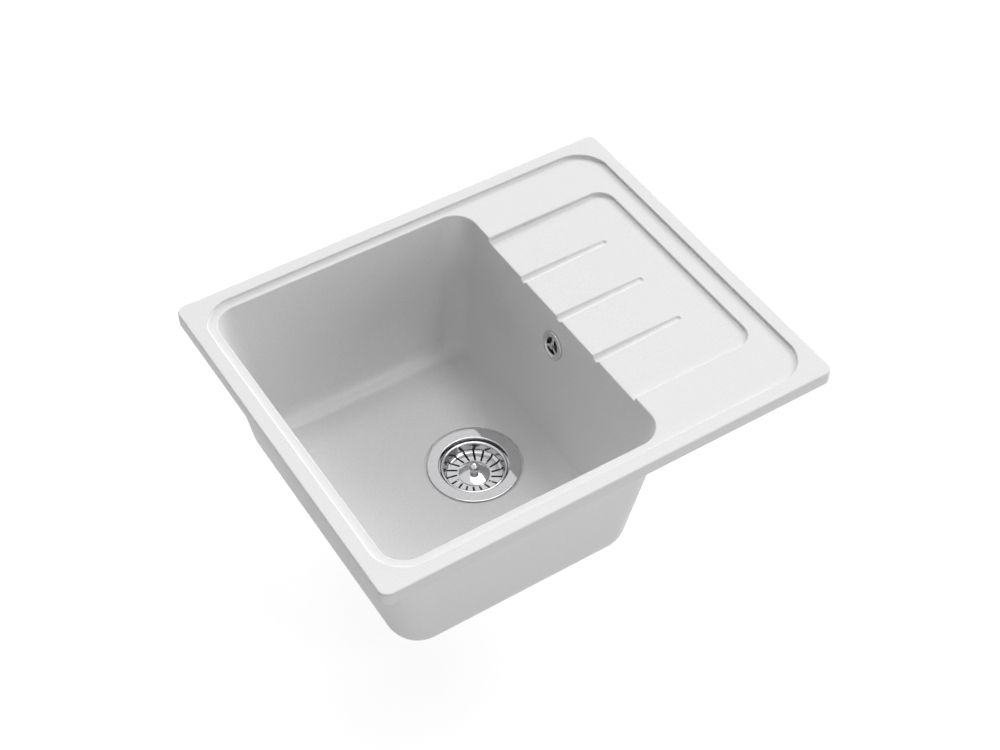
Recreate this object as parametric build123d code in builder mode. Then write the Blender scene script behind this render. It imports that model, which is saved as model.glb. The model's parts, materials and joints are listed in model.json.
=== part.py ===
"""Inset kitchen sink with one bowl, a drainer, a basket-strainer waste and an overflow.

Millimetres, +Z up, +X towards the drainer, +Y towards the wall. The origin is the centre of
the rim's outline on the worktop's surface, which the rim's underside rests on.
"""
import math
import os

from build123d import *

# Rim and sunken top of the basin
rim_length = 580.0
rim_width = 480.0
rim_height = 17.0
rim_corner_radius = 12.0
rim_edge_radius = 2.0
rim_foot_chamfer = 0.8
rim_band = 17.5
rim_seat_width = 12.0
underside_drop = 4.0
recess_depth = 4.0
recess_edge_radius = 1.0
recess_foot_radius = 1.6
ledge_width = 11.5

# Bowl
bowl_length = 341.5
bowl_depth = 198.0
bowl_corner_radius = 30.5
wall_draft = 8.0
wall_thickness = 10.0
floor_fillet = 26.0
mouth_edge_radius = 1.5

# Drainer and its grooves
drainer_end_margin = 25.0
drainer_side_margin = 71.5
drainer_corner_radius = 22.0
drainer_end_step = 3.8
drainer_lip_step = 5.7
groove_count = 3
groove_pitch = 75.0
groove_radius = 6.0
groove_end_depth = 1.5
groove_lip_depth = 4.0
groove_end_margin = 49.0

# Sealing strip under the rim
seal_width = 6.0
seal_height = 2.5
seal_clearance = 0.1

# Waste: flange with its pot, and gaskets
drain_margin = 7.4
waste_hole_radius = 45.0
waste_seat_margin = 2.5
waste_seat_edge_radius = 1.2
flange_radius = 57.0
flange_wall = 1.2
flange_edge_radius = 0.9
flange_gasket_thickness = 1.0
gasket_margin = 1.2
pot_radius = 42.6
pot_neck_radius = 38.3
pot_shoulder_drop = 8.1
pot_depth = 40.0
pot_corner_radius = 4.0
well_radius = 11.0
well_depth = 5.0
outlet_hole_radius = 5.5
outlet_hole_circle = 21.0
outlet_hole_count = 8
body_gasket_thickness = 2.0

# Waste body under the bowl
body_radius = 47.0
body_wall = 3.0
body_flange_radius = 57.0
body_flange_thickness = 4.0
body_height = 36.0
body_cone_height = 20.0
outlet_radius = 23.9
outlet_bore = 19.5
outlet_length = 26.0
outlet_lead = 1.5
post_radius = 7.0
rib_thickness = 3.0
rib_count = 3
rib_embed = 1.0
port_drop = 21.0
port_reach = 78.0

# Clamping screw of the waste
screw_radius = 2.95
screw_head_radius = 5.5
screw_head_height = 3.6
screw_socket = 5.0
screw_socket_depth = 2.4
screw_clearance = 0.3
thread_clearance = 0.05
insert_wall = 1.6
insert_length = 14.0
screw_engagement = 12.0

# Strainer basket
basket_rim_radius = 38.9
basket_roll_radius = 2.1
basket_rim_drop = 5.7
basket_floor_drop = 17.3
basket_sheet = 0.8
basket_wall_radius = 37.4
basket_floor_radius = 35.9
basket_fillet = 4.2
dome_radius = 19.0
dome_collar = 1.5
dome_rise = 3.0
dome_arc_radius = 59.0
dome_edge_radius = 0.6
slot_count = 18
slot_width = 2.5
slot_inner_radius = 20.5
slot_outer_radius = 39.0
slot_rise = 3.0
slot_turn = -1.2
slot_skew = 8.6
bush_wall = 1.0
bush_flange_width = 0.8
bush_flange_height = 0.8
bush_edge_radius = 0.4
bush_length = 4.0
bush_clearance = 0.05

# Stopper with its stem and knob
stem_radius = 3.0
stem_running_clearance = 0.08
stem_collar_radius = 5.5
stem_collar_height = 2.0
stem_thread_radius = 2.5
knob_radius = 6.6
knob_skirt_radius = 4.8
knob_skirt_drop = 0.3
knob_foot_radius = 0.5
knob_rise = 19.1
knob_grip = 5.6
plate_radius = 24.0
plate_thickness = 1.5
stopper_radius = 31.0
stopper_thickness = 6.2
stopper_gap = 0.3
stopper_cavity_radius = 8.5
stopper_cavity_depth = 3.6
stopper_edge_radius = 1.5
stem_nut_width = 8.0
stem_nut_height = 3.0

# Overflow grille, screw, gasket and housing
overflow_drop = 48.0
overflow_hole_radius = 12.5
grille_radius = 18.2
grille_thickness = 2.4
grille_edge_radius = 0.9
grille_dish_radius = 13.4
grille_dish_depth = 0.9
grille_opening_radius = 10.8
grille_hub = 4.0
grille_spoke = 3.5
grille_corner_radius = 0.8
grille_collar_wall = 1.1
grille_collar_depth = 5.0
collar_clearance = 0.5
overflow_screw_radius = 2.0
overflow_head_radius = 3.6
overflow_head_height = 1.7
overflow_slot_width = 0.9
overflow_slot_depth = 0.8
overflow_gasket_thickness = 2.0
housing_flange_radius = 21.5
housing_flange_thickness = 3.0
housing_radius = 17.5
housing_wall = 2.5
housing_depth = 26.0
housing_post_radius = 4.8
housing_post_gap = 3.0
housing_insert_wall = 1.2
housing_insert_length = 12.0
spigot_length = 42.0

# Overflow pipe and its two compression joints
pipe_radius = 10.0
pipe_wall = 1.8
pipe_bend_radius = 30.0
pipe_clearance = 0.15
socket_depth = 15.0
socket_wall = 2.85
socket_end_gap = 1.0
joint_seal_thickness = 3.0
joint_nut_wall = 3.0
joint_nut_grip = 12.0
joint_nut_end = 2.5
joint_nut_clearance = 0.3
joint_nut_sides = 8

# Fixing clips under the drainer
clip_side_inset = 35.0
clip_from_end = 100.0
clip_end_inset = 30.0
clip_end_pitch = 200.0
clip_bolt_radius = 2.9
clip_bolt_drop = 40.0
clip_bolt_engagement = 8.0
clip_insert_wall = 1.5
clip_insert_length = 9.0
clip_insert_clearance = 0.05
clip_nut_width = 10.0
clip_nut_height = 5.0
clip_nut_from_end = 1.0
claw_width = 14.0
claw_thickness = 3.0
claw_reach = 42.0
claw_tail = 10.0
claw_corner_radius = 3.0
claw_tip_height = 5.0
claw_tip_width = 8.0
claw_tip_inset = 4.5
claw_running_clearance = 0.08

# Levels and outlines that follow from the sizes above
draft_slope = math.tan(math.radians(wall_draft))
draft_cos = math.cos(math.radians(wall_draft))
draft_sin = math.sin(math.radians(wall_draft))
ledge_z = rim_height - recess_depth
floor_z = rim_height - bowl_depth
bottom_z = floor_z - wall_thickness
recess_length = rim_length - 2 * rim_band
recess_width = rim_width - 2 * rim_band
recess_corner_radius = bowl_corner_radius + ledge_width
bowl_width = recess_width - 2 * ledge_width
bowl_left = ledge_width - recess_length / 2
bowl_right = bowl_left + bowl_length
bowl_x = (bowl_left + bowl_right) / 2
drainer_right = recess_length / 2 - drainer_end_margin
drainer_half = recess_width / 2 - drainer_side_margin
drainer_lip_z = ledge_z - drainer_lip_step
drainer_end_z = ledge_z - drainer_end_step
over_top = 5.0


def wall_inset(z):
    """How far the drafted bowl wall has moved inwards at height z."""
    return (ledge_z - z) * draft_slope


def drainer_z(x):
    """Height of the drainer's sloping floor at x."""
    fall = (drainer_end_z - drainer_lip_z) / (drainer_right - bowl_right)
    return drainer_lip_z + fall * (x - bowl_right)


def bowl_outline_distance(point):
    """Distance of a point from the bowl's rounded outline at the point's own height."""
    straight_x = bowl_length / 2 - wall_inset(point.Z) - bowl_corner_radius
    straight_y = bowl_width / 2 - wall_inset(point.Z) - bowl_corner_radius
    over_x = abs(point.X - bowl_x) - straight_x
    over_y = abs(point.Y) - straight_y
    outside = math.hypot(max(over_x, 0), max(over_y, 0))
    return outside + min(max(over_x, over_y), 0) - bowl_corner_radius


def is_upright(edge):
    """Whether an edge climbs more than it runs."""
    return abs(edge.tangent_at(0.5).Z) > 0.5


def bowl_block(low_z, high_z, outset):
    """Drafted block of the bowl with rounded corners and floor: one quarter, mirrored twice."""
    with BuildPart() as block:
        with BuildSketch(Plane((bowl_x, 0, low_z))):
            Rectangle(
                bowl_length / 2 + outset, bowl_width / 2 + outset, align=(Align.MIN, Align.MIN)
            )
        extrude(amount=high_z - low_z)
        walls = block.faces().sort_by(Axis.X)[-1:] + block.faces().sort_by(Axis.Y)[-1:]
        draft(walls, Plane.XY.offset(ledge_z), -wall_draft)
        corner = block.edges().filter_by(is_upright).sort_by_distance((bowl_x, 0, low_z))[-1]
        fillet(corner, bowl_corner_radius + outset)
        foot = block.faces().sort_by(Axis.Z)[0].edges()
        outer = [edge for edge in foot if (edge @ 0.5).X > bowl_x + 1 and (edge @ 0.5).Y > 1]
        fillet(outer, floor_fillet + outset)
        mirror(about=Plane.YZ.offset(bowl_x))
        mirror(about=Plane.XZ)
    return block.part


# Space inside the bowl, and its outside one wall thickness further out
bowl_space = bowl_block(floor_z, rim_height + over_top, 0)
bowl_shell = bowl_block(bottom_z, 0, wall_thickness)

# Space over the drainer, which slopes down to the bowl and runs on into it
drainer_left = bowl_right - wall_thickness - floor_fillet
with BuildPart() as drainer_space:
    with BuildSketch(Plane.XZ):
        Polygon(
            (drainer_left, drainer_z(drainer_left)),
            (drainer_right, drainer_end_z),
            (drainer_right, rim_height + over_top),
            (drainer_left, rim_height + over_top),
            align=None,
        )
    extrude(amount=drainer_half, both=True)
    fillet(drainer_space.edges().filter_by(Axis.Z).group_by(Axis.X)[-1], drainer_corner_radius)
    foot = drainer_space.faces().sort_by(Axis.Z)[0].edges()
    fillet(foot.sort_by(Axis.X)[1:], recess_foot_radius)

# Round-bottomed grooves that deepen towards the bowl
groove_end_x = drainer_right - groove_end_margin
groove_half_width = math.sqrt(2 * groove_radius * groove_end_depth - groove_end_depth**2)
groove_ball_x = groove_end_x - groove_half_width
groove_ball_z = drainer_z(groove_ball_x) - groove_end_depth + groove_radius
groove_mouth_z = drainer_lip_z - groove_lip_depth + groove_radius
groove_run = Vector(bowl_right - groove_ball_x, 0, groove_mouth_z - groove_ball_z)
groove_ys = [groove_pitch * (i - (groove_count - 1) / 2) for i in range(groove_count)]
with BuildPart() as groove_space:
    for groove_y in groove_ys:
        ball = Vector(groove_ball_x, groove_y, groove_ball_z)
        with BuildSketch(Plane(ball, x_dir=(0, 1, 0), z_dir=groove_run)):
            Circle(groove_radius)
        extrude(amount=groove_run.length + bowl_right - drainer_left)
        with Locations(ball):
            Sphere(groove_radius)

# Places of the waste, the overflow and the clips
waste_seat_radius = flange_radius + waste_seat_margin
floor_fillet_reach = floor_fillet / math.tan(math.radians(45 + wall_draft / 2))
flat_floor_right = bowl_right - wall_inset(floor_z) - floor_fillet_reach
drain_x = flat_floor_right - drain_margin - waste_seat_radius
waste_seat_depth = flange_gasket_thickness + flange_wall
waste_seat_z = floor_z - waste_seat_depth
waste_axis = Axis((drain_x, 0, 0), (0, 0, 1))
overflow_plane = Plane(
    origin=(bowl_right - overflow_drop * draft_slope, 0, ledge_z - overflow_drop),
    x_dir=(0, -1, 0),
    z_dir=(-draft_cos, 0, draft_sin),
)
overflow_wall = wall_thickness * draft_cos
clip_y = rim_width / 2 - clip_side_inset
clip_x = rim_length / 2 - clip_from_end
clip_end_x = rim_length / 2 - clip_end_inset
clip_places = {
    "front": (clip_x, -clip_y),
    "back": (clip_x, clip_y),
    "right_front": (clip_end_x, -clip_end_pitch / 2),
    "right_back": (clip_end_x, clip_end_pitch / 2),
}
clip_insert_radius = clip_bolt_radius + thread_clearance + clip_insert_wall
clip_plane = Plane.XY.offset(-underside_drop)
seal_centre_inset = rim_seat_width / 2
seal_groove_width = seal_width + 2 * seal_clearance


def frame_ring(width):
    """Draw a ring that runs under the rim, centred on its seat."""
    outer = seal_centre_inset - width / 2
    inner = seal_centre_inset + width / 2
    RectangleRounded(rim_length - 2 * outer, rim_width - 2 * outer, rim_corner_radius - outer)
    RectangleRounded(
        rim_length - 2 * inner,
        rim_width - 2 * inner,
        rim_corner_radius - outer - width / 2,
        mode=Mode.SUBTRACT,
    )


# Basin: rim, locating step, bowl and drainer in one moulding
with BuildPart() as sink_basin:
    with BuildSketch():
        RectangleRounded(rim_length, rim_width, rim_corner_radius)
    extrude(amount=rim_height)
    fillet(sink_basin.faces().sort_by(Axis.Z)[-1].edges(), rim_edge_radius)
    chamfer(sink_basin.faces().sort_by(Axis.Z)[0].edges(), rim_foot_chamfer)
    with BuildSketch():
        RectangleRounded(
            rim_length - 2 * rim_seat_width, rim_width - 2 * rim_seat_width, rim_corner_radius
        )
    extrude(amount=-underside_drop)
    add(bowl_shell)

    # Sunken top with a rounded foot and edge
    with BuildSketch(Plane.XY.offset(ledge_z)):
        RectangleRounded(recess_length, recess_width, recess_corner_radius)
    extrude(amount=recess_depth + over_top, mode=Mode.SUBTRACT)
    level = sink_basin.faces().filter_by(Plane.XY)
    ledge = level.filter_by_position(Axis.Z, ledge_z - 0.01, ledge_z + 0.01)[0]
    fillet(ledge.edges(), recess_foot_radius)
    rim_top = sink_basin.faces().sort_by(Axis.Z)[-1]
    fillet(rim_top.inner_wires()[0].edges(), recess_edge_radius)

    # Drainer, grooves and bowl, then one soft edge round all their mouths
    add(drainer_space.part, mode=Mode.SUBTRACT)
    add(groove_space.part, mode=Mode.SUBTRACT)
    add(bowl_space, mode=Mode.SUBTRACT)
    tilted = [
        face
        for face in sink_basin.faces().filter_by(GeomType.PLANE)
        if 0.9 < face.normal_at().Z < 0.999999
    ]
    drainer_floor = max(tilted, key=lambda face: face.area)
    mouth_edges = [
        edge
        for edge in sink_basin.edges()
        if all(
            abs(bowl_outline_distance(edge @ t)) < 0.5 and (edge @ t).Z > 0 for t in (0, 0.5, 1)
        )
    ]
    groove_edges = [
        edge
        for edge in drainer_floor.edges()
        if bowl_right < (edge @ 0.5).X < groove_end_x + groove_radius
        and min(abs((edge @ 0.5).Y - y) for y in groove_ys) < 2 * groove_radius
    ]
    step_edges = [
        edge
        for edge in sink_basin.edges()
        if all(abs((edge @ t).Z - ledge_z) < 0.01 for t in (0, 0.5, 1))
        and bowl_right + 0.1 < (edge @ 0.5).X < drainer_right + 0.1
        and abs((edge @ 0.5).Y) < drainer_half + 0.1
    ]
    fillet(mouth_edges + groove_edges + step_edges, mouth_edge_radius)

    # Seat and hole for the waste
    with BuildSketch(Plane((drain_x, 0, floor_z))):
        Circle(waste_seat_radius)
    extrude(amount=-waste_seat_depth, mode=Mode.SUBTRACT)
    floor_face = sink_basin.faces().filter_by(Plane.XY).filter_by_position(
        Axis.Z, floor_z - 0.01, floor_z + 0.01
    )[0]
    fillet(floor_face.inner_wires()[0].edges(), waste_seat_edge_radius)
    with BuildSketch(Plane((drain_x, 0, floor_z))):
        Circle(waste_hole_radius)
    extrude(amount=-wall_thickness - over_top, mode=Mode.SUBTRACT)

    # Overflow hole, pockets for the clips' inserts and groove for the sealing strip
    with BuildSketch(overflow_plane):
        Circle(overflow_hole_radius)
    extrude(amount=2 * wall_thickness, both=True, mode=Mode.SUBTRACT)
    with BuildSketch(clip_plane):
        with Locations(*clip_places.values()):
            Circle(clip_insert_radius + clip_insert_clearance)
    extrude(amount=clip_insert_length, mode=Mode.SUBTRACT)
    with BuildSketch():
        frame_ring(seal_groove_width)
    extrude(amount=seal_height, mode=Mode.SUBTRACT)

# Sealing strip pressed into the groove under the rim
with BuildPart() as rim_seal:
    with BuildSketch():
        frame_ring(seal_width)
    extrude(amount=seal_height)



def level_points(points, level):
    """Corners of a section that lie at one level, from the axis outwards."""
    return points.filter_by_position(Axis.Y, level - 0.01, level + 0.01).sort_by(Axis.X)


# Waste flange: a pressed pot whose wide lip lies flush with the bowl's floor
waste_section = Plane(origin=(drain_x, 0, floor_z), x_dir=(1, 0, 0), z_dir=(0, -1, 0))
well_floor = -pot_depth - well_depth
with BuildPart() as waste_flange:
    with BuildSketch(waste_section) as pot_profile:
        with BuildLine():
            Polyline(
                (pot_radius, 0),
                (flange_radius, 0),
                (flange_radius, -flange_wall),
                (pot_radius + flange_wall, -flange_wall),
                (pot_radius + flange_wall, -pot_shoulder_drop - flange_wall),
                (pot_neck_radius + flange_wall, -pot_shoulder_drop - flange_wall),
                (pot_neck_radius + flange_wall, -pot_depth - flange_wall),
                (well_radius + flange_wall, -pot_depth - flange_wall),
                (well_radius + flange_wall, well_floor - flange_wall),
                (screw_radius + screw_clearance, well_floor - flange_wall),
                (screw_radius + screw_clearance, well_floor),
                (well_radius, well_floor),
                (well_radius, -pot_depth),
                (pot_neck_radius, -pot_depth),
                (pot_neck_radius, -pot_shoulder_drop),
                (pot_radius, -pot_shoulder_drop),
                close=True,
            )
        make_face()
        corners = pot_profile.vertices()
        fillet(level_points(corners, 0), flange_edge_radius)
        fillet(level_points(corners, -pot_depth)[-1], pot_corner_radius)
        fillet(level_points(corners, -pot_depth - flange_wall)[-1], pot_corner_radius + flange_wall)
    revolve(axis=waste_axis)
    with BuildSketch(Plane((drain_x, 0, floor_z - pot_depth))):
        with PolarLocations(outlet_hole_circle, outlet_hole_count):
            Circle(outlet_hole_radius)
    extrude(amount=-2 * flange_wall, mode=Mode.SUBTRACT)

# Rubber ring between the flange and its seat
with BuildPart() as flange_gasket:
    with BuildSketch(Plane((drain_x, 0, waste_seat_z))):
        Circle(flange_radius - gasket_margin)
        Circle(waste_hole_radius + gasket_margin, mode=Mode.SUBTRACT)
    extrude(amount=flange_gasket_thickness)

# Rubber ring between the bowl's underside and the waste body
with BuildPart() as body_gasket:
    with BuildSketch(Plane((drain_x, 0, bottom_z))):
        Circle(body_flange_radius - gasket_margin)
        Circle(body_radius, mode=Mode.SUBTRACT)
    extrude(amount=-body_gasket_thickness)

# Waste body: cup, cone and threaded outlet, with a ribbed post for the clamping screw
body_top = bottom_z - body_gasket_thickness
body_cone_top = body_top - body_height
outlet_top = body_cone_top - body_cone_height
outlet_end = outlet_top - outlet_length
post_top = floor_z + well_floor - flange_wall
port_z = body_top - port_drop
port_plane = Plane(origin=(drain_x, 0, port_z), x_dir=(0, 1, 0), z_dir=(1, 0, 0))
port_radius = pipe_radius + pipe_clearance + socket_wall
pipe_bore = pipe_radius - pipe_wall
insert_bore = screw_radius + thread_clearance
insert_radius = insert_bore + insert_wall
body_section = Plane(origin=(drain_x, 0, 0), x_dir=(1, 0, 0), z_dir=(0, -1, 0))
with BuildPart() as waste_body:
    with BuildSketch(body_section):
        with BuildLine():
            Polyline(
                (0, body_top),
                (body_flange_radius, body_top),
                (body_flange_radius, body_top - body_flange_thickness),
                (body_radius + body_wall, body_top - body_flange_thickness),
                (body_radius + body_wall, body_cone_top),
                (outlet_radius, outlet_top),
                (outlet_radius, outlet_end + outlet_lead),
                (outlet_radius - outlet_lead, outlet_end),
                (0, outlet_end),
                close=True,
            )
        make_face()
    revolve(axis=waste_axis)
    with BuildSketch(port_plane):
        Circle(port_radius)
    extrude(amount=port_reach)
    with BuildSketch(body_section):
        with BuildLine():
            Polyline(
                (0, body_top),
                (body_radius, body_top),
                (body_radius, body_cone_top),
                (outlet_bore, outlet_top),
                (outlet_bore, outlet_end),
                (0, outlet_end),
                close=True,
            )
        make_face()
    revolve(axis=waste_axis, mode=Mode.SUBTRACT)
    with BuildSketch(port_plane):
        Circle(pipe_bore)
    extrude(amount=port_reach, mode=Mode.SUBTRACT)
    with BuildSketch(port_plane.offset(port_reach)):
        Circle(pipe_radius + pipe_clearance)
    extrude(amount=-socket_depth, mode=Mode.SUBTRACT)
    with BuildSketch(Plane((drain_x, 0, post_top))):
        Circle(post_radius)
    extrude(amount=outlet_top - post_top)
    for i in range(rib_count):
        turn = 2 * math.pi / rib_count * (i + 0.5)
        along = (math.cos(turn), math.sin(turn), 0)
        across = (math.sin(turn), -math.cos(turn), 0)
        with BuildSketch(Plane(origin=(drain_x, 0, 0), x_dir=along, z_dir=across)):
            with BuildLine():
                Polyline(
                    (0, body_cone_top),
                    (body_radius + rib_embed, body_cone_top),
                    (outlet_bore + rib_embed, outlet_top),
                    (0, outlet_top),
                    close=True,
                )
            make_face()
        extrude(amount=rib_thickness / 2, both=True)
    with BuildSketch(Plane((drain_x, 0, post_top))):
        Circle(insert_radius + clip_insert_clearance)
    extrude(amount=-insert_length, mode=Mode.SUBTRACT)

# Threaded brass insert in the post
with BuildPart() as clamp_insert:
    with BuildSketch(Plane((drain_x, 0, post_top))):
        Circle(insert_radius)
        Circle(insert_bore, mode=Mode.SUBTRACT)
    extrude(amount=-insert_length)

# Clamping screw through the pot into the insert
with BuildPart() as clamp_screw:
    with BuildSketch(Plane((drain_x, 0, floor_z + well_floor))):
        Circle(screw_head_radius)
    extrude(amount=screw_head_height)
    with BuildSketch(Plane((drain_x, 0, floor_z + well_floor))):
        Circle(screw_radius)
    extrude(amount=-flange_wall - screw_engagement)
    with BuildSketch(Plane((drain_x, 0, floor_z + well_floor + screw_head_height))):
        RegularPolygon(screw_socket / 2, 6, major_radius=False)
    extrude(amount=-screw_socket_depth, mode=Mode.SUBTRACT)

# Strainer basket: a pressed dish with a rolled rim, radial slots and a central dome
dome_foot = -basket_floor_drop
dome_shoulder = dome_foot + dome_collar
dome_top = dome_shoulder + dome_rise
bush_bore = stem_radius + stem_running_clearance
bush_radius = bush_bore + bush_wall
dome_hole = bush_radius + bush_clearance
with BuildPart() as strainer_basket:
    with BuildSketch(waste_section) as dish_profile:
        with BuildLine():
            Polyline(
                (dome_radius, dome_shoulder),
                (dome_radius, dome_foot),
                (basket_floor_radius, dome_foot),
                (basket_wall_radius, -basket_rim_drop),
                (basket_wall_radius + basket_sheet, -basket_rim_drop),
                (basket_floor_radius + basket_sheet, dome_foot - basket_sheet),
                (dome_radius - basket_sheet, dome_foot - basket_sheet),
                (dome_radius - basket_sheet, dome_shoulder - basket_sheet),
            )
            RadiusArc(
                (dome_radius - basket_sheet, dome_shoulder - basket_sheet),
                (dome_hole, dome_top - basket_sheet),
                -dome_arc_radius,
            )
            Line((dome_hole, dome_top - basket_sheet), (dome_hole, dome_top))
            RadiusArc(
                (dome_hole, dome_top),
                (dome_radius, dome_shoulder),
                dome_arc_radius + basket_sheet,
            )
        make_face()
        bends = dish_profile.vertices()
        fillet(level_points(bends, dome_foot)[-1], basket_fillet)
        fillet(level_points(bends, dome_foot)[0], basket_sheet)
        fillet(level_points(bends, dome_foot - basket_sheet)[-1], basket_fillet + basket_sheet)
        fillet(level_points(bends, dome_shoulder)[-1], dome_edge_radius)
        with Locations((basket_rim_radius, -basket_rim_drop)):
            Circle(basket_roll_radius)
    revolve(axis=waste_axis)
    with BuildSketch(Plane((drain_x, 0, floor_z + dome_foot + slot_rise))):
        with PolarLocations((slot_inner_radius + slot_outer_radius) / 2, slot_count, slot_turn):
            SlotOverall(slot_outer_radius - slot_inner_radius, slot_width, rotation=slot_skew)
    extrude(amount=-slot_rise - 2 * basket_sheet, mode=Mode.SUBTRACT)

# Bush that guides the stem in the basket's dome
dome_top_z = floor_z + dome_top
with BuildPart() as stem_bush:
    with BuildSketch(Plane((drain_x, 0, dome_top_z))):
        Circle(bush_radius)
    extrude(amount=-bush_length)
    with BuildSketch(Plane((drain_x, 0, dome_top_z))):
        Circle(bush_radius + bush_flange_width)
    extrude(amount=bush_flange_height)
    fillet(stem_bush.faces().sort_by(Axis.Z)[-1].edges(), bush_edge_radius)
    with BuildSketch(Plane((drain_x, 0, dome_top_z + bush_flange_height))):
        Circle(bush_bore)
    extrude(amount=-bush_flange_height - bush_length, mode=Mode.SUBTRACT)

# Stem of the stopper, with the collar that presses on the plate
pot_floor_z = floor_z - pot_depth
stopper_bottom = pot_floor_z + stopper_gap
stopper_top = stopper_bottom + stopper_thickness
plate_top = stopper_top + plate_thickness
knob_top = floor_z - basket_floor_drop + knob_rise
knob_centre = knob_top - knob_radius
knob_bottom = knob_centre - knob_radius - knob_skirt_drop
stem_end = stopper_bottom + stopper_cavity_depth - stem_nut_height
with BuildPart() as plug_stem:
    with BuildSketch(Plane((drain_x, 0, plate_top))):
        Circle(stem_radius)
    extrude(amount=knob_bottom + knob_grip - plate_top)
    with BuildSketch(Plane((drain_x, 0, plate_top))):
        Circle(stem_collar_radius)
    extrude(amount=stem_collar_height)
    with BuildSketch(Plane((drain_x, 0, plate_top))):
        Circle(stem_thread_radius)
    extrude(amount=stem_end - plate_top)

# Ball knob on the stem, with a short skirt
with BuildPart() as plug_knob:
    with BuildSketch(Plane((drain_x, 0, knob_bottom))):
        Circle(knob_skirt_radius)
    extrude(amount=knob_centre - knob_bottom)
    fillet(plug_knob.edges().sort_by(Axis.Z)[0], knob_foot_radius)
    with Locations((drain_x, 0, knob_centre)):
        Sphere(knob_radius)
    with BuildSketch(Plane((drain_x, 0, knob_bottom))):
        Circle(stem_radius + thread_clearance)
    extrude(amount=knob_grip, mode=Mode.SUBTRACT)

# Steel plate that backs the stopper
with BuildPart() as stopper_plate:
    with BuildSketch(Plane((drain_x, 0, stopper_top))):
        Circle(plate_radius)
        Circle(stem_thread_radius + thread_clearance, mode=Mode.SUBTRACT)
    extrude(amount=plate_thickness)

# Rubber stopper, hollow underneath for the nut
with BuildPart() as stopper_seal:
    with BuildSketch(Plane((drain_x, 0, stopper_bottom))):
        Circle(stopper_radius)
        Circle(stem_thread_radius + thread_clearance, mode=Mode.SUBTRACT)
    extrude(amount=stopper_thickness)
    upper_edges = stopper_seal.faces().sort_by(Axis.Z)[-1].edges()
    fillet(upper_edges.sort_by(SortBy.RADIUS)[-1], stopper_edge_radius)
    with BuildSketch(Plane((drain_x, 0, stopper_bottom))):
        Circle(stopper_cavity_radius)
    extrude(amount=stopper_cavity_depth, mode=Mode.SUBTRACT)

# Nut under the stopper
with BuildPart() as stem_nut:
    with BuildSketch(Plane((drain_x, 0, stem_end))):
        RegularPolygon(stem_nut_width / 2, 6, major_radius=False)
        Circle(stem_thread_radius + thread_clearance, mode=Mode.SUBTRACT)
    extrude(amount=stem_nut_height)

# Overflow grille: a dished rosette with three openings round a screwed hub
grille_face = grille_thickness - grille_dish_depth
head_bore = overflow_screw_radius + screw_clearance
with BuildPart() as overflow_grille:
    with BuildSketch(overflow_plane):
        Circle(grille_radius)
    extrude(amount=grille_thickness)
    fillet(
        overflow_grille.edges().filter_by_position(
            Axis((0, 0, 0), overflow_plane.z_dir),
            Vector(overflow_plane.origin).dot(overflow_plane.z_dir) + grille_thickness - 0.01,
            Vector(overflow_plane.origin).dot(overflow_plane.z_dir) + grille_thickness + 0.01,
        ),
        grille_edge_radius,
    )
    with BuildSketch(overflow_plane.offset(grille_face)):
        Circle(grille_dish_radius)
    extrude(amount=grille_dish_depth, mode=Mode.SUBTRACT, taper=-30)
    with BuildSketch(overflow_plane):
        Circle(overflow_hole_radius - collar_clearance)
        Circle(overflow_hole_radius - collar_clearance - grille_collar_wall, mode=Mode.SUBTRACT)
    extrude(amount=-grille_collar_depth)
    with BuildSketch(overflow_plane) as petals:
        Circle(grille_opening_radius)
        RegularPolygon(2 * grille_hub, 3, rotation=90, mode=Mode.SUBTRACT)
        for angle in (90, 210, 330):
            with Locations(Location((0, 0, 0), (0, 0, angle))):
                Rectangle(
                    2 * grille_opening_radius,
                    grille_spoke,
                    align=(Align.MIN, Align.CENTER),
                    mode=Mode.SUBTRACT,
                )
        fillet(petals.vertices(), grille_corner_radius)
    extrude(amount=grille_thickness, mode=Mode.SUBTRACT)
    with BuildSketch(overflow_plane):
        Circle(head_bore)
    extrude(amount=grille_thickness, mode=Mode.SUBTRACT)

# Slotted screw that draws the housing up to the grille
housing_front = -overflow_wall - overflow_gasket_thickness
housing_back = housing_front - housing_depth
post_front = housing_front - housing_post_gap
screw_tip = post_front - housing_insert_length
with BuildPart() as overflow_screw:
    with BuildSketch(overflow_plane.offset(grille_face)):
        Circle(overflow_head_radius)
    extrude(amount=overflow_head_height)
    with BuildSketch(overflow_plane.offset(grille_face)):
        Circle(overflow_screw_radius)
    extrude(amount=screw_tip - grille_face)
    with BuildSketch(overflow_plane.offset(grille_face + overflow_head_height)):
        Rectangle(2 * overflow_head_radius, overflow_slot_width)
    extrude(amount=-overflow_slot_depth, mode=Mode.SUBTRACT)

# Rubber ring behind the bowl's wall
with BuildPart() as overflow_gasket:
    with BuildSketch(overflow_plane.offset(-overflow_wall)):
        Circle(housing_flange_radius - gasket_margin)
        Circle(overflow_hole_radius, mode=Mode.SUBTRACT)
    extrude(amount=-overflow_gasket_thickness)

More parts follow.
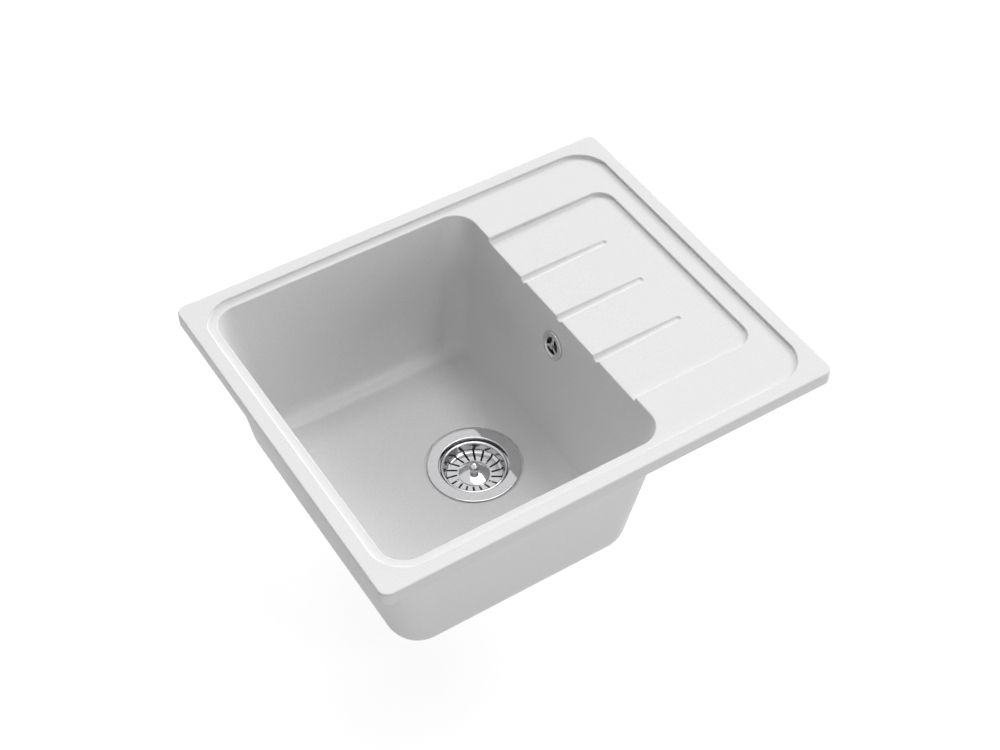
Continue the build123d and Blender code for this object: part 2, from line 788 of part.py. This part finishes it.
# Overflow housing: a cup on the wall with a spigot that points straight down
spigot_back = (housing_front + housing_back) / 2
spigot_top = overflow_plane.from_local_coords(Vector(0, 0, spigot_back))
spigot_plane = Plane(origin=spigot_top, x_dir=(1, 0, 0), z_dir=(0, 0, -1))
spigot_end_z = spigot_top.Z - spigot_length
housing_insert_bore = overflow_screw_radius + thread_clearance
housing_insert_radius = housing_insert_bore + housing_insert_wall
with BuildPart() as overflow_housing:
    with BuildSketch(overflow_plane.offset(housing_front)):
        Circle(housing_flange_radius)
    extrude(amount=-housing_flange_thickness)
    with BuildSketch(overflow_plane.offset(housing_front)):
        Circle(housing_radius)
    extrude(amount=-housing_depth)
    with BuildSketch(spigot_plane):
        Circle(port_radius)
    extrude(amount=spigot_length)
    with BuildSketch(overflow_plane.offset(housing_front)):
        Circle(housing_radius - housing_wall)
    extrude(amount=housing_wall - housing_depth, mode=Mode.SUBTRACT)
    with BuildSketch(spigot_plane):
        Circle(pipe_bore)
    extrude(amount=spigot_length, mode=Mode.SUBTRACT)
    with BuildSketch(spigot_plane.offset(spigot_length)):
        Circle(pipe_radius + pipe_clearance)
    extrude(amount=-socket_depth, mode=Mode.SUBTRACT)
    with BuildSketch(overflow_plane.offset(post_front)):
        Circle(housing_post_radius)
    extrude(amount=housing_back + housing_wall / 2 - post_front)
    with BuildSketch(overflow_plane.offset(post_front)):
        Circle(housing_insert_radius + clip_insert_clearance)
    extrude(amount=-housing_insert_length, mode=Mode.SUBTRACT)

# Threaded insert in the housing's post
with BuildPart() as overflow_insert:
    with BuildSketch(overflow_plane.offset(post_front)):
        Circle(housing_insert_radius)
        Circle(housing_insert_bore, mode=Mode.SUBTRACT)
    extrude(amount=-housing_insert_length)

# Rigid overflow pipe from the housing's spigot down to the waste body's port
pipe_x = spigot_top.X
pipe_top = spigot_end_z + socket_depth - socket_end_gap
pipe_end_x = drain_x + port_reach - socket_depth + socket_end_gap
with BuildPart() as overflow_pipe:
    with BuildLine() as pipe_path:
        FilletPolyline(
            (pipe_x, 0, pipe_top),
            (pipe_x, 0, port_z),
            (pipe_end_x, 0, port_z),
            radius=pipe_bend_radius,
        )
    with BuildSketch(Plane(origin=(pipe_x, 0, pipe_top), x_dir=(1, 0, 0), z_dir=(0, 0, -1))):
        Circle(pipe_radius)
        Circle(pipe_bore, mode=Mode.SUBTRACT)
    sweep(path=pipe_path.wires()[0])

# Compression joints at both ends of the pipe: a seal on the socket's mouth and a nut over it
joint_nut_bore = port_radius + joint_nut_clearance


def joint_seal(mouth):
    """Rubber ring on a socket's mouth, round the pipe."""
    with BuildPart() as seal:
        with BuildSketch(mouth):
            Circle(port_radius)
            Circle(pipe_radius + thread_clearance, mode=Mode.SUBTRACT)
        extrude(amount=joint_seal_thickness)
    return seal


def joint_nut(mouth):
    """Octagonal union nut that grips a socket and closes over its seal."""
    with BuildPart() as nut:
        with BuildSketch(mouth.offset(-joint_nut_grip)):
            RegularPolygon(joint_nut_bore + joint_nut_wall, joint_nut_sides, major_radius=False)
        extrude(amount=joint_nut_grip + joint_seal_thickness + joint_nut_end)
        with BuildSketch(mouth.offset(-joint_nut_grip)):
            Circle(joint_nut_bore)
        extrude(amount=joint_nut_grip + joint_seal_thickness, mode=Mode.SUBTRACT)
        with BuildSketch(mouth):
            Circle(pipe_radius + joint_nut_clearance)
        extrude(amount=2 * joint_nut_grip, mode=Mode.SUBTRACT)
    return nut


upper_mouth = spigot_plane.offset(spigot_length)
lower_mouth = port_plane.offset(port_reach)
upper_pipe_seal = joint_seal(upper_mouth)
lower_pipe_seal = joint_seal(lower_mouth)
upper_pipe_nut = joint_nut(upper_mouth)
lower_pipe_nut = joint_nut(lower_mouth)

# Threaded inserts, bolts and nuts of the fixing clips, one of each at every clip
clip_bolt_end = -underside_drop - clip_bolt_drop
clip_nut_bottom = clip_bolt_end + clip_nut_from_end
claw_z = clip_nut_bottom + clip_nut_height
with BuildPart() as clip_inserts:
    with BuildSketch(clip_plane):
        with Locations(*clip_places.values()):
            Circle(clip_insert_radius)
            Circle(clip_bolt_radius + thread_clearance, mode=Mode.SUBTRACT)
    extrude(amount=clip_insert_length)
with BuildPart() as clip_bolts:
    with BuildSketch(Plane.XY.offset(clip_bolt_end)):
        with Locations(*clip_places.values()):
            Circle(clip_bolt_radius)
    extrude(amount=clip_bolt_drop + clip_bolt_engagement)
with BuildPart() as clip_nuts:
    with BuildSketch(Plane.XY.offset(clip_nut_bottom)):
        with Locations(*clip_places.values()):
            RegularPolygon(clip_nut_width / 2, 6, major_radius=False)
            Circle(clip_bolt_radius + thread_clearance, mode=Mode.SUBTRACT)
    extrude(amount=clip_nut_height)


def clip_claw(place, turn):
    """Steel claw that swings on a clip's bolt, with an upturned tip, pointing along turn degrees."""
    swing = Plane(
        origin=(*place, claw_z),
        x_dir=(math.cos(math.radians(turn)), math.sin(math.radians(turn)), 0),
        z_dir=(0, 0, 1),
    )
    with BuildPart() as claw:
        with BuildSketch(swing):
            with Locations(((claw_reach - claw_tail) / 2, 0)):
                RectangleRounded(claw_reach + claw_tail, claw_width, claw_corner_radius)
        extrude(amount=claw_thickness)
        with BuildSketch(swing.offset(claw_thickness)):
            with Locations((claw_reach - claw_tip_inset, 0)):
                Rectangle(claw_thickness, claw_tip_width)
        extrude(amount=claw_tip_height)
        with BuildSketch(swing):
            Circle(clip_bolt_radius + claw_running_clearance)
        extrude(amount=claw_thickness, mode=Mode.SUBTRACT)
    return claw


clip_rest_turns = {"front": 180, "back": 180, "right_front": 90, "right_back": 270}

pieces = {
    "sink_basin": sink_basin,
    "rim_seal": rim_seal,
    "waste_flange": waste_flange,
    "flange_gasket": flange_gasket,
    "body_gasket": body_gasket,
    "waste_body": waste_body,
    "clamp_insert": clamp_insert,
    "clamp_screw": clamp_screw,
    "strainer_basket": strainer_basket,
    "stem_bush": stem_bush,
    "plug_stem": plug_stem,
    "plug_knob": plug_knob,
    "stopper_plate": stopper_plate,
    "stopper_seal": stopper_seal,
    "stem_nut": stem_nut,
    "overflow_grille": overflow_grille,
    "overflow_screw": overflow_screw,
    "overflow_gasket": overflow_gasket,
    "overflow_housing": overflow_housing,
    "overflow_insert": overflow_insert,
    "overflow_pipe": overflow_pipe,
    "upper_pipe_seal": upper_pipe_seal,
    "upper_pipe_nut": upper_pipe_nut,
    "lower_pipe_seal": lower_pipe_seal,
    "lower_pipe_nut": lower_pipe_nut,
    "clip_inserts": clip_inserts,
    "clip_bolts": clip_bolts,
    "clip_nuts": clip_nuts,
}
for clip_name, clip_turn in clip_rest_turns.items():
    pieces[f"clip_claw_{clip_name}"] = clip_claw(clip_places[clip_name], clip_turn)

os.makedirs("parts", exist_ok=True)
for piece_name, piece in pieces.items():
    piece.part.label = piece_name
    export_step(piece.part, f"parts/{piece_name}.step")
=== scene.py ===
import json
import math

import bpy
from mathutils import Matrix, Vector


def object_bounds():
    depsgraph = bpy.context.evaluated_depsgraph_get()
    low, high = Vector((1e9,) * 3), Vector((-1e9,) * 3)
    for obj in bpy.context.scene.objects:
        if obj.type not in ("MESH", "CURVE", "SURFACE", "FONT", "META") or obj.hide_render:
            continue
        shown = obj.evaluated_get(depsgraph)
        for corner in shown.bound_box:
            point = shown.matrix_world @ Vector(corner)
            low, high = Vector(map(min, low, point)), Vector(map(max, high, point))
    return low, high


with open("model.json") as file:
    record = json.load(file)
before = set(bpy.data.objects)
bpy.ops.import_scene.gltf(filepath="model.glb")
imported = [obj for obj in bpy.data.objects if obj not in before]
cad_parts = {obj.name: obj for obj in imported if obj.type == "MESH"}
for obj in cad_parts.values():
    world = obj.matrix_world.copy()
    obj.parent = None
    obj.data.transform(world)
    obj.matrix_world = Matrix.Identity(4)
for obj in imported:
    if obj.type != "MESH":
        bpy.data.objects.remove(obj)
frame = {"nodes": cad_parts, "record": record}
cad_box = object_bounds()

# Camera in metres and degrees, solved from the rim's corners in the photograph
CAMERA_PLACE = (-0.7586, -1.1981, 1.5068)
CAMERA_PITCH = 47.54
CAMERA_YAW = 32.36
CAMERA_LENS_MM = 65.5
SENSOR_WIDTH_MM = 36.0

# Floor in metres: the pale colour that bounces light, and the glow and shadow that are seen
FLOOR_SIZE = 12.0
FLOOR_GAP = 0.002
FLOOR_COLOUR = 0.70
FLOOR_GLOW = 0.9
FLOOR_SHADOW = 0.2

# Lamps: azimuth from +X, elevation and width in degrees, the part of its colour that a facing
# surface shows under that lamp alone, and whether gloss shows the lamp itself
LAMPS = {
    "back": (88, 28, 24, 0.56, False),
    "back_right": (46, 28, 24, 0.17, False),
    "right": (5, 28, 24, 0.66, False),
    "top": (36, 70, 30, 0.27, True),
    "front": (-64.5, 46, 12, 0.12, True),
    "front_low": (-85, 6, 20, 0.23, False),
    "left_low": (-172, 6, 20, 0.12, False),
}

# Linear colours of the finishes
COMPOSITE_COLOUR = (0.74, 0.74, 0.74)
CHROME_COLOUR = (0.58, 0.58, 0.59)
STEEL_COLOUR = (0.60, 0.60, 0.61)
RUBBER_COLOUR = (0.025, 0.025, 0.026)
PLASTIC_COLOUR = (0.74, 0.74, 0.73)
NYLON_COLOUR = (0.45, 0.45, 0.46)
BRASS_COLOUR = (0.72, 0.53, 0.24)

# Part of the noise over which a finish goes from its low to its high value
NOISE_SPAN = (0.3, 0.7)

# Composite: grains per metre, their darkest and lightest tone, gloss, and relief in metres
GRAIN_SCALE = 700
GRAIN_SPAN = (0.36, 0.64)
GRAIN_TONES = (0.93, 1.06)
COMPOSITE_ROUGHNESS = (0.40, 0.48)
COMPOSITE_SPECULAR = 1.0
COMPOSITE_RELIEF_SCALE = 900
COMPOSITE_RELIEF = 0.00008
COMPOSITE_BUMP = 0.25

# Metals: darkest and lightest tone, and relief in metres
METAL_TONES = (0.96, 1.03)
METAL_RELIEF = 0.00001
METAL_BUMP = 0.1

# Plastic and rubber: darkest and lightest tone
MOULDED_TONES = (0.9, 1.08)
MOULDED_BUMP = 0.3


def new_material(name):
    """An empty node material with its Principled shader, ready to be given detail."""
    material = bpy.data.materials.new(name)
    material.use_nodes = True
    tree = material.node_tree
    tree.nodes.clear()
    output = tree.nodes.new("ShaderNodeOutputMaterial")
    shader = tree.nodes.new("ShaderNodeBsdfPrincipled")
    tree.links.new(shader.outputs["BSDF"], output.inputs["Surface"])
    return material, tree, shader


def noise(tree, scale, detail, roughness=0.5):
    """Noise over the object's own coordinates, in cycles per metre."""
    coords = tree.nodes.new("ShaderNodeTexCoord")
    texture = tree.nodes.new("ShaderNodeTexNoise")
    texture.inputs["Scale"].default_value = scale
    texture.inputs["Detail"].default_value = detail
    texture.inputs["Roughness"].default_value = roughness
    tree.links.new(coords.outputs["Object"], texture.inputs["Vector"])
    return texture.outputs["Fac"]


def ramp(tree, value, colours, span=NOISE_SPAN):
    """Spread a value between two colours."""
    node = tree.nodes.new("ShaderNodeValToRGB")
    for element, place, colour in zip(node.color_ramp.elements, span, colours):
        element.position = place
        element.color = (*colour, 1.0)
    tree.links.new(value, node.inputs["Fac"])
    return node.outputs["Color"]


def greys(levels):
    """Grey colours, to spread a value between plain numbers."""
    return [(level, level, level) for level in levels]


def tinted(colour, tones):
    """One colour made darker and lighter."""
    return [tuple(channel * tone for channel in colour) for tone in tones]


def bump(tree, shader, height, strength, distance):
    """Fine relief from a height value."""
    node = tree.nodes.new("ShaderNodeBump")
    node.inputs["Strength"].default_value = strength
    node.inputs["Distance"].default_value = distance
    tree.links.new(height, node.inputs["Height"])
    tree.links.new(node.outputs["Normal"], shader.inputs["Normal"])


def composite():
    """White quartz composite: satin, with fine grains a little darker and lighter than the ground."""
    material, tree, shader = new_material("composite")
    grain = noise(tree, GRAIN_SCALE, detail=4.0, roughness=0.75)
    tone = ramp(tree, grain, tinted(COMPOSITE_COLOUR, GRAIN_TONES), GRAIN_SPAN)
    tree.links.new(tone, shader.inputs["Base Color"])
    gloss = ramp(tree, grain, greys(COMPOSITE_ROUGHNESS))
    tree.links.new(gloss, shader.inputs["Roughness"])
    shader.inputs["Specular IOR Level"].default_value = COMPOSITE_SPECULAR
    height = noise(tree, COMPOSITE_RELIEF_SCALE, detail=3.0, roughness=0.6)
    bump(tree, shader, height, COMPOSITE_BUMP, COMPOSITE_RELIEF)
    return material


def metal(name, colour, roughness, scale):
    """Bright metal whose polish varies a little."""
    material, tree, shader = new_material(name)
    shader.inputs["Metallic"].default_value = 1.0
    polish = noise(tree, scale, detail=3.0)
    tone = ramp(tree, polish, tinted(colour, METAL_TONES))
    tree.links.new(tone, shader.inputs["Base Color"])
    tree.links.new(ramp(tree, polish, greys(roughness)), shader.inputs["Roughness"])
    bump(tree, shader, polish, METAL_BUMP, METAL_RELIEF)
    return material


def moulded(name, colour, roughness, scale, relief):
    """Moulded plastic or rubber with a fine texture and a slight mottle."""
    material, tree, shader = new_material(name)
    mottle = noise(tree, scale, detail=4.0, roughness=0.6)
    tone = ramp(tree, mottle, tinted(colour, MOULDED_TONES))
    tree.links.new(tone, shader.inputs["Base Color"])
    tree.links.new(ramp(tree, mottle, greys(roughness)), shader.inputs["Roughness"])
    bump(tree, shader, mottle, MOULDED_BUMP, relief)
    return material


def seen_ray(tree):
    """1 on a ray from the camera, a mirror or a clear piece, and 0 on any other."""
    path = tree.nodes.new("ShaderNodeLightPath")
    seen = path.outputs["Is Camera Ray"]
    for ray in ("Is Glossy Ray", "Is Transmission Ray"):
        either = tree.nodes.new("ShaderNodeMath")
        either.operation = "MAXIMUM"
        tree.links.new(seen, either.inputs[0])
        tree.links.new(path.outputs[ray], either.inputs[1])
        seen = either.outputs[0]
    return seen


def matt(tree, level):
    """A matt grey shader."""
    shader = tree.nodes.new("ShaderNodeBsdfDiffuse")
    shader.inputs["Color"].default_value = (level, level, level, 1)
    return shader


def floor_material():
    """Pale matt floor that reads as white to the camera and in mirrors, with a faint shadow."""
    material = bpy.data.materials.new("floor")
    material.use_nodes = True
    tree = material.node_tree
    tree.nodes.clear()
    output = tree.nodes.new("ShaderNodeOutputMaterial")
    pale = matt(tree, FLOOR_COLOUR)
    shadow = matt(tree, FLOOR_SHADOW)
    glow = tree.nodes.new("ShaderNodeEmission")
    glow.inputs["Strength"].default_value = FLOOR_GLOW
    white = tree.nodes.new("ShaderNodeAddShader")
    mix = tree.nodes.new("ShaderNodeMixShader")
    tree.links.new(shadow.outputs[0], white.inputs[0])
    tree.links.new(glow.outputs[0], white.inputs[1])
    tree.links.new(seen_ray(tree), mix.inputs["Fac"])
    tree.links.new(pale.outputs[0], mix.inputs[1])
    tree.links.new(white.outputs[0], mix.inputs[2])
    tree.links.new(mix.outputs[0], output.inputs["Surface"])
    return material


def lamp(name, azimuth, elevation, width, share, in_gloss):
    """A far soft lamp, whose energy of pi would show a facing surface in just its own colour."""
    across, up = math.radians(azimuth), math.radians(elevation)
    toward = Vector((
        math.cos(up) * math.cos(across),
        math.cos(up) * math.sin(across),
        math.sin(up),
    ))
    light = bpy.data.lights.new(name, "SUN")
    light.angle = math.radians(width)
    light.energy = share * math.pi
    lamp_object = bpy.data.objects.new(name, light)
    lamp_object.rotation_euler = toward.to_track_quat("Z", "Y").to_euler()
    lamp_object.visible_glossy = in_gloss
    bpy.context.collection.objects.link(lamp_object)


# Each node takes the finish that the record names for it
finishes = {
    "composite": composite(),
    "chrome": metal("chrome", CHROME_COLOUR, roughness=(0.02, 0.05), scale=300),
    "steel": metal("steel", STEEL_COLOUR, roughness=(0.07, 0.13), scale=500),
    "rubber": moulded("rubber", RUBBER_COLOUR, roughness=(0.6, 0.8), scale=900, relief=0.00005),
    "plastic": moulded("plastic", PLASTIC_COLOUR, roughness=(0.38, 0.5), scale=700, relief=0.00004),
    "nylon": moulded("nylon", NYLON_COLOUR, roughness=(0.4, 0.5), scale=900, relief=0.00003),
    "brass": metal("brass", BRASS_COLOUR, roughness=(0.2, 0.32), scale=800),
}
for entry in frame["record"]["subparts"]:
    node = frame["nodes"][entry["node"]]
    node.data.materials.clear()
    node.data.materials.append(finishes[entry["material_slot"]])

# Floor, just under the outlet
floor_z = cad_box[0][2] - FLOOR_GAP
bpy.ops.mesh.primitive_plane_add(size=FLOOR_SIZE, location=(0, 0, floor_z))
floor = bpy.context.object
floor.name = "floor"
floor.data.materials.append(floor_material())

for lamp_name, settings in LAMPS.items():
    lamp(lamp_name, *settings)

# World: white to the camera and to mirrors, and no light of its own
world = bpy.data.worlds.new("studio")
bpy.context.scene.world = world
world.use_nodes = True
backdrop = world.node_tree.nodes["Background"]
backdrop.inputs["Color"].default_value = (1, 1, 1, 1)
world.node_tree.links.new(seen_ray(world.node_tree), backdrop.inputs["Strength"])

camera = bpy.data.cameras.new("camera")
camera.lens = CAMERA_LENS_MM
camera.sensor_width = SENSOR_WIDTH_MM
camera.sensor_fit = "HORIZONTAL"
camera_object = bpy.data.objects.new("camera", camera)
camera_object.location = CAMERA_PLACE
camera_object.rotation_euler = (math.radians(90 - CAMERA_PITCH), 0, math.radians(-CAMERA_YAW))
bpy.context.collection.objects.link(camera_object)
bpy.context.scene.camera = camera_object
bpy.context.scene.view_settings.view_transform = "Standard"
